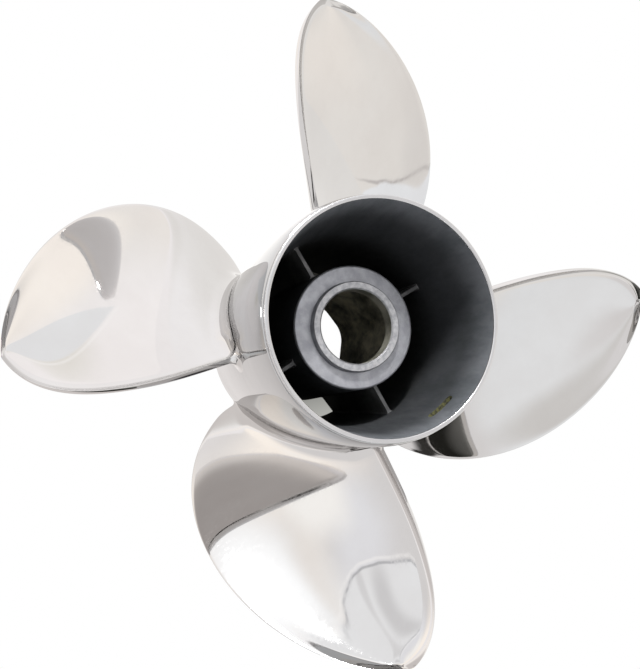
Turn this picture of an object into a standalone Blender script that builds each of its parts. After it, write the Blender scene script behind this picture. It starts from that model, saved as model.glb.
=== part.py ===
"""Four-bladed stainless ship propeller with the exhaust passing through its hub.

The shaft axis is +Z and the aft end is up. The front rim of the barrel stands on Z = 0.
Angles are measured round +Z from +X, anticlockwise seen from aft. All lengths are metres.
"""

import math

import bmesh
import bpy
from mathutils import Matrix

# Blades: a right-hand screw surface, with its sections laid out on cylinders round the axis
BLADE_COUNT = 4
TIP_RADIUS = 0.165
PITCH = 0.490
TIP_PITCH_LOSS = 0.092
TIP_PITCH_POWER = 4.5
ROOT_RADIUS = 0.056
HALF_WIDTH_ANGLE = 35.1
LEADING_POWER = 2.77
LEADING_ROUNDNESS = 0.478
TRAILING_POWER = 3.63
TRAILING_ROUNDNESS = 0.838
ROOT_MIDDLE_ANGLE = 145.45
SKEW_ANGLE = 22.2
SKEW_POWER = 2.37
ROOT_MIDDLE_HEIGHT = 0.0447
RAKE_SLOPE = 0.335
RAKE_CURVE = 0.38
LEADING_RELIEF_ANGLE = 2.2
LEADING_RELIEF_REACH = 0.015
TRAILING_RELIEF_ANGLE = 2.9
TRAILING_RELIEF_REACH = 0.052
FRONT_CLEARANCE = 0.0005
ROOT_THICKNESS = 0.0085
TIP_THICKNESS = 0.0034
TIP_THINNING = 0.1
FORWARD_FULLNESS = 0.9
LEADING_THICKNESS = 0.0014
TRAILING_THICKNESS = 0.0034
TRAILING_TIP_THICKNESS = 0.0029
TRAILING_FADE_POWER = 16

# Pressure face: hollow along the chord, with a cup that lifts the trailing edge
TRAILING_LIFT = 0.0028
TRAILING_LIFT_GAIN = 0.0005
CUP_DEPTH = 0.0030
CUP_LOSS = 0.0012
CUP_WIDTH = 0.0064
HOLLOW = 0.0019
HOLLOW_GAIN = 0.0020
TAIL_HOLLOW = 0.0006
NOSE_ROLL = 0.0005
NOSE_ROLL_GAIN = 0.0005

# Root fillets, which run out to the two edges, and how finely the loft is stepped
FACE_FILLET = 0.0100
BACK_FILLET = 0.0060
LEADING_FILLET = 0.0030
TRAILING_FILLET = 0.0060
FILLET_RUN_IN = 0.022
ROOT_OVERLAP = 0.003
FILLET_STEPS = 9
SPAN_STEPS = 16
BODY_CHORD_STEPS = 14
CUP_CHORD_STEPS = 4
OUTERMOST_SECTION = 0.16496

# Barrel: the outer wall, fullest near its aft end, with a thin lip round the outlet
BARREL_LENGTH = 0.143
BARREL_FRONT_RADIUS = 0.0552
BARREL_FULL_RADIUS = 0.0598
BARREL_FULL_HEIGHT = 0.100
SHOULDER_HEIGHT = 0.110
SHOULDER_STEPS = 6
BODY_STEPS = 8
LIP_FOOT_HEIGHT = 0.1405
LIP_OUTER_RADIUS = 0.0570
LIP_INNER_RADIUS = 0.0549
LIP_ROUNDING = 0.0006
PASSAGE_FRONT_RADIUS = 0.0473
PASSAGE_TAPER = 0.032
OUTLET_FLARE = 0.0030
OUTLET_FLARE_START = 0.084
OUTLET_FLARE_POWER = 1.3
PASSAGE_STEPS = 9
TURN_STEPS = 64

# Slot through the barrel wall, close to the lip
SLOT_ANGLE = 21.2
SLOT_HEIGHT = 0.1262
SLOT_LENGTH = 0.0155
SLOT_WIDTH = 0.0052
SLOT_CUT_DEPTH = 0.030
SLOT_END_ROUNDING = 0.0022

# Hub: the inner sleeve, with a raised ring, a round mouth and an eight-sided pocket behind it
HUB_FRONT_HEIGHT = 0.0015
HUB_FACE_HEIGHT = 0.0999
HUB_RING_HEIGHT = 0.1042
HUB_FRONT_RADIUS = 0.0352
HUB_FACE_RADIUS = 0.0318
HUB_EDGE_ROUNDING = 0.0012
RING_OUTER_RADIUS = 0.0229
MOUTH_RADIUS = 0.0189
MOUTH_CHAMFER = 0.0007
MOUTH_DEPTH = 0.0090
POCKET_CORNER_RADIUS = 0.0288
POCKET_CORNER_ANGLE = 87.0
POCKET_SIDES = 8
POCKET_CORNER_ROUNDING = 0.0062

# Ribs: four plates that hold the hub in the barrel, thickest at the front of the hub
RIB_ANGLES = (11.5, 101.6, 192.6, 283.8)
RIB_FRONT_HEIGHT = 0.0030
RIB_AFT_HEIGHT = 0.0840
RIB_FRONT_FOOT_THICKNESS = 0.0128
RIB_FRONT_RIM_THICKNESS = 0.0045
RIB_AFT_THICKNESS = 0.0018

SEAM = 0.0003
OVERREACH = 0.010

# Finishes: base colour, metallic, roughness
POLISHED = ("polished_stainless", (0.80, 0.79, 0.78, 1.0), 1.0, 0.08)
CAST_DARK = ("sooted_casting", (0.16, 0.17, 0.18, 1.0), 0.7, 0.55)
SATIN = ("satin_hub_face", (0.52, 0.52, 0.55, 1.0), 0.9, 0.42)


def clear_scene():
    for item in list(bpy.data.objects):
        bpy.data.objects.remove(item, do_unlink=True)


def make_collection(name):
    collection = bpy.data.collections.new(name)
    bpy.context.scene.collection.children.link(collection)
    return collection


def make_material(finish):
    name, colour, metallic, roughness = finish
    material = bpy.data.materials.new(name)
    material.use_nodes = True
    shader = material.node_tree.nodes["Principled BSDF"]
    shader.inputs["Base Color"].default_value = colour
    shader.inputs["Metallic"].default_value = metallic
    shader.inputs["Roughness"].default_value = roughness
    material.diffuse_color = colour
    return material


def mesh_object(name, builder, collection, finish=None):
    """An object whose mesh is what the bmesh builder holds."""
    mesh = bpy.data.meshes.new(name)
    builder.to_mesh(mesh)
    builder.free()
    item = bpy.data.objects.new(name, mesh)
    collection.objects.link(item)
    if finish:
        mesh.materials.append(make_material(finish))
    return item


def turned(name, profile, collection, finish=None, closed=True):
    """A profile of (radius, height) turned round Z, running down its outer side.

    An open profile starts and ends on the axis, which makes a solid plug.
    """
    builder = bmesh.new()
    corners = [builder.verts.new((radius, 0.0, height)) for radius, height in profile]
    ends = corners[1:] + corners[:1] if closed else corners[1:]
    for start, end in zip(corners, ends):
        builder.edges.new((start, end))
    item = mesh_object(name, builder, collection, finish)
    screw = item.modifiers.new("turn", "SCREW")
    screw.steps = TURN_STEPS
    screw.render_steps = TURN_STEPS
    screw.use_merge_vertices = True
    screw.merge_threshold = 0.00001
    return item


def as_cutter(item):
    item.hide_render = True
    item.display_type = "WIRE"
    return item


def add_boolean(item, other, operation):
    cut = item.modifiers.new(other.name, "BOOLEAN")
    cut.operation = operation
    cut.object = other
    cut.solver = "EXACT"


def shade(item, angle=35.0):
    item.data.shade_smooth()
    item.data.set_sharp_from_angle(angle=math.radians(angle))


def barrel_radius(height):
    """Outer radius of the barrel at a height: one long arc, fullest near the aft end."""
    away = (height - BARREL_FULL_HEIGHT) / BARREL_FULL_HEIGHT
    return BARREL_FULL_RADIUS - (BARREL_FULL_RADIUS - BARREL_FRONT_RADIUS) * away**2


def passage_radius(height):
    """Inner radius of the barrel at a height, which opens out towards the outlet."""
    reach = BARREL_LENGTH - OUTLET_FLARE_START
    flare = max(0.0, height - OUTLET_FLARE_START) / reach
    return PASSAGE_FRONT_RADIUS + PASSAGE_TAPER * height + OUTLET_FLARE * flare**OUTLET_FLARE_POWER


def hub_radius(height):
    share = (height - HUB_FRONT_HEIGHT) / (HUB_FACE_HEIGHT - HUB_FRONT_HEIGHT)
    return HUB_FRONT_RADIUS + (HUB_FACE_RADIUS - HUB_FRONT_RADIUS) * share


def steps_between(start, end, count):
    return [start + (end - start) * step / count for step in range(count + 1)]


def shoulder_profile():
    """The quarter round that leads from the fat of the barrel in to the foot of the lip."""
    top_radius = barrel_radius(SHOULDER_HEIGHT)
    drop = top_radius - LIP_OUTER_RADIUS
    rise = LIP_FOOT_HEIGHT - SHOULDER_HEIGHT
    points = []
    for turn in steps_between(90.0, 0.0, SHOULDER_STEPS):
        angle = math.radians(turn)
        radius = LIP_OUTER_RADIUS + drop * math.cos(angle)
        points.append((radius, SHOULDER_HEIGHT + rise * math.sin(angle)))
    return points


def barrel_outer_profile(extra=0.0):
    """Points down the outside of the barrel, from the foot of the lip to the front rim."""
    points = shoulder_profile()
    heights = steps_between(SHOULDER_HEIGHT, 0.0, BODY_STEPS)[1:]
    points += [(barrel_radius(height), height) for height in heights]
    return [(radius + extra, height) for radius, height in points]


def make_barrel(parts, cutters):
    below_lip = BARREL_LENGTH - LIP_ROUNDING
    outer = [(LIP_OUTER_RADIUS - LIP_ROUNDING, BARREL_LENGTH), (LIP_OUTER_RADIUS, below_lip)]
    outer += barrel_outer_profile()
    inner = [(passage_radius(height), height) for height in steps_between(0.0, below_lip, PASSAGE_STEPS)]
    inner.append((LIP_INNER_RADIUS + LIP_ROUNDING, BARREL_LENGTH))
    barrel = turned("outer_barrel", outer + inner, parts, POLISHED)
    add_boolean(barrel, make_slot_cutter(cutters), "DIFFERENCE")
    shade(barrel)
    return barrel


def make_slot_cutter(cutters):
    """A round-ended block that stands radially through the wall."""
    bpy.ops.mesh.primitive_cube_add(size=1.0)
    cutter = bpy.context.object
    cutter.name = "slot_cutter"
    cutter.data.transform(Matrix.Diagonal((SLOT_CUT_DEPTH, SLOT_LENGTH, SLOT_WIDTH, 1.0)))
    angle = math.radians(SLOT_ANGLE)
    wall = (BARREL_FULL_RADIUS + LIP_INNER_RADIUS) / 2
    cutter.location = (wall * math.cos(angle), wall * math.sin(angle), SLOT_HEIGHT)
    cutter.rotation_euler = (0.0, 0.0, angle)
    round_edges(cutter, 0, SLOT_END_ROUNDING)
    move_to(cutter, cutters)
    return as_cutter(cutter)


def round_edges(item, axis, width):
    """Rounds the edges of a block or prism that run along one axis."""
    builder = bmesh.new()
    builder.from_mesh(item.data)
    along = []
    for edge in builder.edges:
        direction = (edge.verts[0].co - edge.verts[1].co).normalized()
        if abs(direction[axis]) > 0.99:
            along.append(edge)
    bmesh.ops.bevel(builder, geom=along, offset=width, segments=3, profile=0.5, affect="EDGES")
    builder.to_mesh(item.data)
    builder.free()


def move_to(item, collection):
    for owner in list(item.users_collection):
        owner.objects.unlink(item)
    collection.objects.link(item)


def make_hub(parts, cutters):
    edge = HUB_EDGE_ROUNDING
    bite = edge * (1.0 - math.sqrt(0.5))
    mouth_floor = HUB_RING_HEIGHT - MOUTH_DEPTH
    profile = [
        (MOUTH_RADIUS + MOUTH_CHAMFER, HUB_RING_HEIGHT),
        (RING_OUTER_RADIUS, HUB_RING_HEIGHT),
        (RING_OUTER_RADIUS, HUB_FACE_HEIGHT),
        (HUB_FACE_RADIUS - edge, HUB_FACE_HEIGHT),
        (HUB_FACE_RADIUS - bite, HUB_FACE_HEIGHT - bite),
        (HUB_FACE_RADIUS, HUB_FACE_HEIGHT - edge),
        (HUB_FRONT_RADIUS, HUB_FRONT_HEIGHT),
        (MOUTH_RADIUS, HUB_FRONT_HEIGHT),
        (MOUTH_RADIUS, mouth_floor),
        (MOUTH_RADIUS, HUB_RING_HEIGHT - MOUTH_CHAMFER),
    ]
    hub = turned("inner_hub", profile, parts, SATIN)
    add_boolean(hub, make_pocket_cutter(mouth_floor, cutters), "DIFFERENCE")
    shade(hub)
    return hub


def make_pocket_cutter(mouth_floor, cutters):
    """The eight-sided space ahead of the mouth, with rounded corners."""
    depth = mouth_floor + OVERREACH
    bpy.ops.mesh.primitive_cylinder_add(vertices=POCKET_SIDES, radius=POCKET_CORNER_RADIUS, depth=depth)
    cutter = bpy.context.object
    cutter.name = "pocket_cutter"
    cutter.location = (0.0, 0.0, mouth_floor - depth / 2)
    cutter.rotation_euler = (0.0, 0.0, math.radians(POCKET_CORNER_ANGLE - 90.0))
    round_edges(cutter, 2, POCKET_CORNER_ROUNDING)
    move_to(cutter, cutters)
    return as_cutter(cutter)


def make_passage_space(cutters):
    """The ring of space between hub and barrel, less the seam, that the ribs are trimmed to."""
    low = RIB_FRONT_HEIGHT - OVERREACH
    high = RIB_AFT_HEIGHT + OVERREACH
    heights = steps_between(high, low, 6)
    outer = [(passage_radius(height) - SEAM, height) for height in heights]
    inner = [(hub_radius(height) + SEAM, height) for height in reversed(heights)]
    return as_cutter(turned("passage_space", outer + inner, cutters))


def make_rib(index, passage, parts):
    """A plate standing radially across the passage, with casting draft."""
    height = RIB_AFT_HEIGHT - RIB_FRONT_HEIGHT
    inner = HUB_FACE_RADIUS - OVERREACH / 2
    outer = PASSAGE_FRONT_RADIUS + OVERREACH
    bpy.ops.mesh.primitive_cube_add(size=1.0)
    rib = bpy.context.object
    rib.name = f"hub_rib_{index + 1}"
    rib.data.name = rib.name
    for corner in rib.data.vertices:
        aft = corner.co.z > 0
        at_rim = corner.co.x > 0
        front_thickness = RIB_FRONT_RIM_THICKNESS if at_rim else RIB_FRONT_FOOT_THICKNESS
        thickness = RIB_AFT_THICKNESS if aft else front_thickness
        corner.co.x = outer if at_rim else inner
        corner.co.y = math.copysign(thickness / 2, corner.co.y)
        corner.co.z = RIB_FRONT_HEIGHT + height if aft else RIB_FRONT_HEIGHT
    rib.rotation_euler = (0.0, 0.0, math.radians(RIB_ANGLES[index]))
    rib.data.materials.append(make_material(CAST_DARK))
    move_to(rib, parts)
    add_boolean(rib, passage, "INTERSECT")
    return rib


def span_share(radius):
    """0 at the root radius and 1 at the tip."""
    return min(1.0, max(0.0, radius - ROOT_RADIUS) / (TIP_RADIUS - ROOT_RADIUS))


def edge_angle(radius, power, roundness):
    """Angle from the blade's middle line to one of its edges, which closes to nothing at the tip."""
    share = min(1.0, radius / TIP_RADIUS)
    return HALF_WIDTH_ANGLE * (1.0 - share**power) ** roundness


def relief(radius, angle, reach):
    """An edge turns in a little where it meets the barrel."""
    near = 1.0 - (radius - ROOT_RADIUS) / reach
    return angle * min(1.0, max(0.0, near)) ** 2


def middle_angle(radius):
    return ROOT_MIDDLE_ANGLE + SKEW_ANGLE * span_share(radius) ** SKEW_POWER


def climb_at(radius):
    """Climb of the screw surface for each radian, which falls off near the tip."""
    return (PITCH - TIP_PITCH_LOSS * span_share(radius) ** TIP_PITCH_POWER) / (2 * math.pi)


def middle_height(radius):
    """Height of the section's middle: rake, plus the climb that its skew gives on the screw."""
    out = radius - ROOT_RADIUS
    rake = RAKE_SLOPE * out + RAKE_CURVE * out**2
    return ROOT_MIDDLE_HEIGHT + rake + PITCH * (middle_angle(radius) - ROOT_MIDDLE_ANGLE) / 360.0


def leading_angle(radius):
    reach = edge_angle(radius, LEADING_POWER, LEADING_ROUNDNESS)
    turned_in = relief(radius, LEADING_RELIEF_ANGLE, LEADING_RELIEF_REACH)
    return middle_angle(radius) - reach + turned_in


def trailing_angle(radius):
    reach = edge_angle(radius, TRAILING_POWER, TRAILING_ROUNDNESS)
    turned_in = relief(radius, TRAILING_RELIEF_ANGLE, TRAILING_RELIEF_REACH)
    return middle_angle(radius) + reach - turned_in


def chord_length(radius):
    """Length of the section along the screw, from leading to trailing edge."""
    turn = math.radians(trailing_angle(radius) - leading_angle(radius))
    return turn * math.hypot(radius, climb_at(radius))


def trailing_thickness(radius):
    """Thickness of the square trailing edge, which fades away just short of the tip."""
    span = span_share(radius)
    full = TRAILING_THICKNESS + (TRAILING_TIP_THICKNESS - TRAILING_THICKNESS) * span
    return max(LEADING_THICKNESS, full * (1.0 - span**TRAILING_FADE_POWER))


def thickness_at(radius, share):
    """Thickness at a share of the chord, greatest a little ahead of the middle."""
    edge = LEADING_THICKNESS + (trailing_thickness(radius) - LEADING_THICKNESS) * share
    middle = ROOT_THICKNESS + (TIP_THICKNESS - ROOT_THICKNESS) * span_share(radius)
    width = (trailing_angle(radius) - leading_angle(radius)) / (2 * HALF_WIDTH_ANGLE)
    middle *= TIP_THINNING + (1.0 - TIP_THINNING) * math.sqrt(max(0.0, width))
    fullness = math.sin(math.pi * share**FORWARD_FULLNESS)
    return edge + max(0.0, middle - edge) * fullness


def cup_width(chord):
    return min(CUP_WIDTH, 0.4 * chord)


def face_height(radius, share):
    """How far the pressure face stands off the plain screw surface at a share of the chord."""
    span = span_share(radius)
    chord = chord_length(radius)
    narrow = min(1.0, chord / (4 * CUP_WIDTH))
    cup = (CUP_DEPTH - CUP_LOSS * span) * narrow
    lift = (TRAILING_LIFT + TRAILING_LIFT_GAIN * span) * narrow
    cup_rise = max(0.0, 1.0 - (1.0 - share) * chord / cup_width(chord))
    base = LEADING_THICKNESS / 2
    hollow = (HOLLOW * span + HOLLOW_GAIN * span**2) * 4 * share * (1.0 - share) * narrow
    tail = TAIL_HOLLOW * math.sin(2 * math.pi * share) * narrow
    nose = (NOSE_ROLL + NOSE_ROLL_GAIN * span) * 17 * share * (1.0 - share) ** 6 * narrow
    return base + (lift - base - cup) * share - hollow + tail + nose + cup * cup_rise**2


def chord_shares(radius):
    """Stations along the chord, closest at the leading edge and over the cup."""
    chord = chord_length(radius)
    cup_start = 1.0 - cup_width(chord) / chord
    shares = []
    for turn in steps_between(0.0, math.pi, BODY_CHORD_STEPS):
        shares.append(cup_start * (1 - math.cos(turn)) / 2)
    return shares + steps_between(cup_start, 1.0, CUP_CHORD_STEPS)[1:]


def section_loop(radius):
    """The blade's section at a radius, unrolled: (distance round the cylinder, height) points."""
    start = math.radians(leading_angle(radius))
    end = math.radians(trailing_angle(radius))
    middle = math.radians(middle_angle(radius))
    climb = climb_at(radius)
    slant = math.hypot(radius, climb)
    normal = (-climb / slant, radius / slant)
    face = []
    back = []
    for share in chord_shares(radius):
        angle = start + (end - start) * share
        proud = face_height(radius, share)
        x = radius * angle + normal[0] * proud
        z = middle_height(radius) + climb * (angle - middle) + normal[1] * proud
        thick = thickness_at(radius, share)
        face.append((x, z))
        back.append((x - normal[0] * thick, z - normal[1] * thick))
    return face + back[::-1]


def fillet_reach(radius, share, on_face):
    """Size of the root fillet at a share of the chord, which runs out towards the edges."""
    from_edge = min(share, 1.0 - share) * chord_length(radius)
    run_in = math.sin(math.pi / 2 * min(1.0, from_edge / FILLET_RUN_IN)) ** 2
    edge = LEADING_FILLET + (TRAILING_FILLET - LEADING_FILLET) * share
    middle = FACE_FILLET if on_face else BACK_FILLET
    return edge + (middle - edge) * run_in


def fillet_swell(height_above, reach):
    """How far a fillet stands out from the blade at a height above the barrel."""
    if height_above >= reach:
        return 0.0
    down = 1.0 - max(0.0, height_above) / reach
    return reach * (1.0 - math.sqrt(max(0.0, 1.0 - down * down)))


def swell_loop(loop, radius):
    """The section loop pushed outwards where the root fillet widens it."""
    count = len(loop)
    shares = chord_shares(radius)
    shares += shares[::-1]
    swollen = []
    for index, (x, z) in enumerate(loop):
        before = loop[index - 1]
        after = loop[(index + 1) % count]
        along = (after[0] - before[0], after[1] - before[1])
        length = math.hypot(*along)
        outward = (-along[1] / length, along[0] / length)
        reach = fillet_reach(radius, shares[index], index < count // 2)
        swell = fillet_swell(radius - barrel_radius(min(z, BARREL_FULL_HEIGHT)), reach)
        swollen.append((x + outward[0] * swell, z + outward[1] * swell))
    return swollen


def blade_radii():
    """Section radii from inside the barrel to the tip, closest in the fillet and at the tip."""
    fillet_top = BARREL_FULL_RADIUS + FACE_FILLET
    radii = steps_between(BARREL_FRONT_RADIUS - ROOT_OVERLAP, fillet_top, FILLET_STEPS)
    for step in range(1, SPAN_STEPS + 1):
        slowing = 1.0 - (1.0 - step / SPAN_STEPS) ** 2
        radii.append(fillet_top + (OUTERMOST_SECTION - fillet_top) * slowing)
    return radii


def make_blade(index, envelope, parts):
    """A loft through the sections, seated on the barrel with a seam's gap."""
    builder = bmesh.new()
    turn = index * 2 * math.pi / BLADE_COUNT
    rings = []
    for radius in blade_radii():
        ring = []
        for x, z in swell_loop(section_loop(radius), radius):
            angle = x / radius + turn
            height = max(z, FRONT_CLEARANCE)
            ring.append(builder.verts.new((radius * math.cos(angle), radius * math.sin(angle), height)))
        rings.append(ring)
    count = len(rings[0])
    for lower, upper in zip(rings, rings[1:]):
        for here in range(count):
            there = (here + 1) % count
            builder.faces.new((lower[here], upper[here], upper[there], lower[there]))
    builder.faces.new(rings[0])
    builder.faces.new(rings[-1][::-1])
    bmesh.ops.recalc_face_normals(builder, faces=builder.faces)
    blade = mesh_object(f"blade_{index + 1}", builder, parts, POLISHED)
    add_boolean(blade, envelope, "DIFFERENCE")
    shade(blade, 50.0)
    return blade


def make_envelope(cutters):
    """The barrel's outer shape as a solid, a seam larger, that the blades are seated on."""
    profile = [(0.0, BARREL_LENGTH + OVERREACH), (LIP_OUTER_RADIUS + SEAM, BARREL_LENGTH + OVERREACH)]
    profile += barrel_outer_profile(SEAM)
    profile += [(BARREL_FRONT_RADIUS + SEAM, -OVERREACH), (0.0, -OVERREACH)]
    return as_cutter(turned("barrel_envelope", profile, cutters, closed=False))


def main():
    clear_scene()
    parts = make_collection("ship_propeller")
    cutters = make_collection("cutters")
    make_barrel(parts, cutters)
    make_hub(parts, cutters)
    passage = make_passage_space(cutters)
    for index in range(len(RIB_ANGLES)):
        make_rib(index, passage, parts)
    envelope = make_envelope(cutters)
    for index in range(BLADE_COUNT):
        make_blade(index, envelope, parts)


main()
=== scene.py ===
# %% [markdown]
# # A four-bladed stainless ship propeller, mirror polished
# The real thing is one investment casting in stainless steel. Water and exhaust leave through
# the hollow barrel, an inner hub takes the shaft, and four raked and cupped blades stand on the
# outside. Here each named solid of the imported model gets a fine, smooth surface of its own,
# because a mirror finish shows every facet of a coarse one.
#
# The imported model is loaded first. Everything else is measured in its frame, in metres, with
# the shaft along Z and the aft end up.

import math

import bpy
from mathutils import Matrix, Vector


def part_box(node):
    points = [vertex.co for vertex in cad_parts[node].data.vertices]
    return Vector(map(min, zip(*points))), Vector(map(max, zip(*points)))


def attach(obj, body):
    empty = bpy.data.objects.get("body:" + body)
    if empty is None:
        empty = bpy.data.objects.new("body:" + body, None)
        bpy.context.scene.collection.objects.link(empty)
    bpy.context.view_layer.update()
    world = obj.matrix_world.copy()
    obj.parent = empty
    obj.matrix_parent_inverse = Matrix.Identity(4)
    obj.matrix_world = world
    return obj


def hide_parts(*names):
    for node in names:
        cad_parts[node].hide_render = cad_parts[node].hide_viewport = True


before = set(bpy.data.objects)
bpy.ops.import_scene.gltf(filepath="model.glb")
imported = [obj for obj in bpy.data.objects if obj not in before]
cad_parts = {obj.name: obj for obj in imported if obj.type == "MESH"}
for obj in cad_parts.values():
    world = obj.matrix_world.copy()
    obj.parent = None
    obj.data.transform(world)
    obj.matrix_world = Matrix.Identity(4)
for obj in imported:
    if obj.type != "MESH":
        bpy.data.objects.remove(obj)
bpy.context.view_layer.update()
bpy.ops.object.select_all(action="DESELECT")

BLADE_COUNT = 4
BARREL_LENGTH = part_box("outer_barrel")[1].z
print("loaded", len(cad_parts), "nodes, barrel length", round(BARREL_LENGTH, 4))

# %% [markdown]
# ## The camera
# The picture looks at the aft end from a little to one side, quite close, so the near rim of the
# barrel looks larger than the hub behind it. The camera is turned about its own axis, because
# the propeller was put down with no blade pointing straight up.

# %% Camera
CAMERA_PLACE = Vector((-0.00192, -0.1390, 0.46041))
CAMERA_TILT = math.radians(18.462)
CAMERA_TURN = math.radians(71.67)
SENSOR = 36.0
FOCAL_LENGTH = 40.97

lens = bpy.data.cameras.new("camera")
lens.sensor_fit = "VERTICAL"
lens.sensor_height = SENSOR
lens.sensor_width = SENSOR
lens.lens = FOCAL_LENGTH
lens.clip_start = 0.01
camera = bpy.data.objects.new("camera", lens)
bpy.context.scene.collection.objects.link(camera)
camera.matrix_world = (
    Matrix.Translation(CAMERA_PLACE)
    @ Matrix.Rotation(CAMERA_TILT, 4, "X")
    @ Matrix.Rotation(CAMERA_TURN, 4, "Z")
)
bpy.context.scene.camera = camera
print("camera at", [round(value, 3) for value in CAMERA_PLACE])

# %% [markdown]
# ## Node helpers
# Materials and light are built in code, so a few short functions keep each one readable. They
# add a node and set its properties, join two sockets, and write sums on numbers and vectors.

# %% Node helpers
def add_node(tree, kind, **settings):
    node = tree.nodes.new(kind)
    for key, value in settings.items():
        setattr(node, key, value)
    return node


def feed(socket, value):
    """Joins a source to a socket, or writes a plain value on it. Colours are written without alpha."""
    if isinstance(value, bpy.types.NodeSocket):
        socket.id_data.links.new(value, socket)
    elif socket.type == "RGBA":
        socket.default_value = (*value, 1.0)
    else:
        socket.default_value = value


def calc(tree, operation, *values, clamp=False):
    node = add_node(tree, "ShaderNodeMath", operation=operation, use_clamp=clamp)
    for socket, value in zip(node.inputs, values):
        feed(socket, value)
    return node.outputs[0]


def vector_calc(tree, operation, first, second=None):
    node = add_node(tree, "ShaderNodeVectorMath", operation=operation)
    feed(node.inputs[0], first)
    if second is not None:
        feed(node.inputs["Scale" if operation == "SCALE" else 1], second)
    return node.outputs["Value" if operation == "LENGTH" else "Vector"]


def split(tree, vector):
    """The X, Y and Z of a vector."""
    node = add_node(tree, "ShaderNodeSeparateXYZ")
    feed(node.inputs[0], vector)
    return list(node.outputs)


def join_axes(tree, *values):
    node = add_node(tree, "ShaderNodeCombineXYZ")
    for socket, value in zip(node.inputs, values):
        feed(socket, value)
    return node.outputs[0]


def add_noise(tree, place, scale, detail, roughness=0.5):
    """A cloudy value from 0 to 1 at each place."""
    node = add_node(tree, "ShaderNodeTexNoise", noise_dimensions="3D")
    feed(node.inputs["Vector"], place)
    for label, value in (("Scale", scale), ("Detail", detail), ("Roughness", roughness)):
        feed(node.inputs[label], value)
    return node.outputs["Fac"]


def mix_color(tree, share, first, second):
    node = add_node(tree, "ShaderNodeMix", data_type="RGBA")
    feed(node.inputs[0], share)
    feed(node.inputs[6], first)
    feed(node.inputs[7], second)
    return node.outputs[2]


def smooth_range(tree, value, start, end):
    """0 before start, 1 after end, smooth between. Start may be the larger one."""
    node = add_node(tree, "ShaderNodeMapRange", interpolation_type="SMOOTHSTEP")
    for socket, source in zip(node.inputs, (value, start, end)):
        feed(socket, source)
    return node.outputs[0]


def object_place(tree):
    return add_node(tree, "ShaderNodeTexCoord").outputs["Object"]


def new_group(name, inputs, outputs):
    """An empty node group, then its inputs and its outputs by name. None makes a vector input,
    a number a float and a tuple a colour. An output named Color is a colour, any other a float."""
    group = bpy.data.node_groups.new(name, "ShaderNodeTree")
    for label, value in inputs.items():
        kind = "Vector" if value is None else "Color" if isinstance(value, tuple) else "Float"
        socket = group.interface.new_socket(label, in_out="INPUT", socket_type="NodeSocket" + kind)
        if value is not None:
            socket.default_value = (*value, 1.0) if kind == "Color" else value
    for label in outputs:
        kind = "Color" if label == "Color" else "Float"
        group.interface.new_socket(label, in_out="OUTPUT", socket_type="NodeSocket" + kind)
    return group, group.nodes.new("NodeGroupInput").outputs, group.nodes.new("NodeGroupOutput").inputs


def use_group(tree, group, **values):
    """Places a group in a tree; an underscore in a name stands for a space."""
    node = add_node(tree, "ShaderNodeGroup", node_tree=group)
    for label, value in values.items():
        feed(node.inputs[label.replace("_", " ")], value)
    return node


def new_material(name):
    """A material with a Principled shader: its tree and that shader."""
    material = bpy.data.materials.new(name)
    material.use_nodes = True
    print("material", name)
    return material, material.node_tree, material.node_tree.nodes["Principled BSDF"]

# %% [markdown]
# ## Surface effects
# Four effects are shared by the finishes, so each is a node group with named values. The
# mottle lays two colours in clouds, as heat, soot and blasting do.

# %% Mottle
mottle_group, mottle_in, mottle_out = new_group(
    "mottle",
    {"Place": None, "Scale": 60.0, "Softness": 0.2, "Dark": (0.2, 0.2, 0.2), "Light": (0.4, 0.4, 0.4)},
    ("Color", "Share"),
)
CLOUD_DETAIL = 5.0
CLOUD_ROUGHNESS = 0.62
clouds = add_noise(mottle_group, mottle_in["Place"], mottle_in["Scale"], CLOUD_DETAIL, CLOUD_ROUGHNESS)
cloud_low = calc(mottle_group, "SUBTRACT", 0.5, mottle_in["Softness"])
cloud_high = calc(mottle_group, "ADD", 0.5, mottle_in["Softness"])
cloud_share = smooth_range(mottle_group, clouds, cloud_low, cloud_high)
cloud_colour = mix_color(mottle_group, cloud_share, mottle_in["Dark"], mottle_in["Light"])
feed(mottle_out["Color"], cloud_colour)
feed(mottle_out["Share"], cloud_share)
print("mottle has", len(mottle_group.nodes), "nodes")

# %% [markdown]
# The grit raises fine grains over slow dents, as a casting's skin has. Bump is enough for it,
# because no grain is tall enough to show in the outline.

# %% Grit
grit_group, grit_in, grit_out = new_group(
    "grit",
    {"Place": None, "Fine Scale": 2500.0, "Coarse Scale": 300.0, "Fine Share": 0.4},
    ("Height",),
)
grains = add_noise(grit_group, grit_in["Place"], grit_in["Fine Scale"], 2.0)
dents = add_noise(grit_group, grit_in["Place"], grit_in["Coarse Scale"], 2.0)
feed(grit_out["Height"], calc(grit_group, "MULTIPLY_ADD", grains, grit_in["Fine Share"], dents))
print("grit has", len(grit_group.nodes), "nodes")

# %% [markdown]
# The belt marks follow the way a polisher works, from root to tip. To draw them out that way,
# the noise is read at a place made of the compass direction and a slow climb. The wide waves
# under them are what hand grinding leaves.

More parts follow.
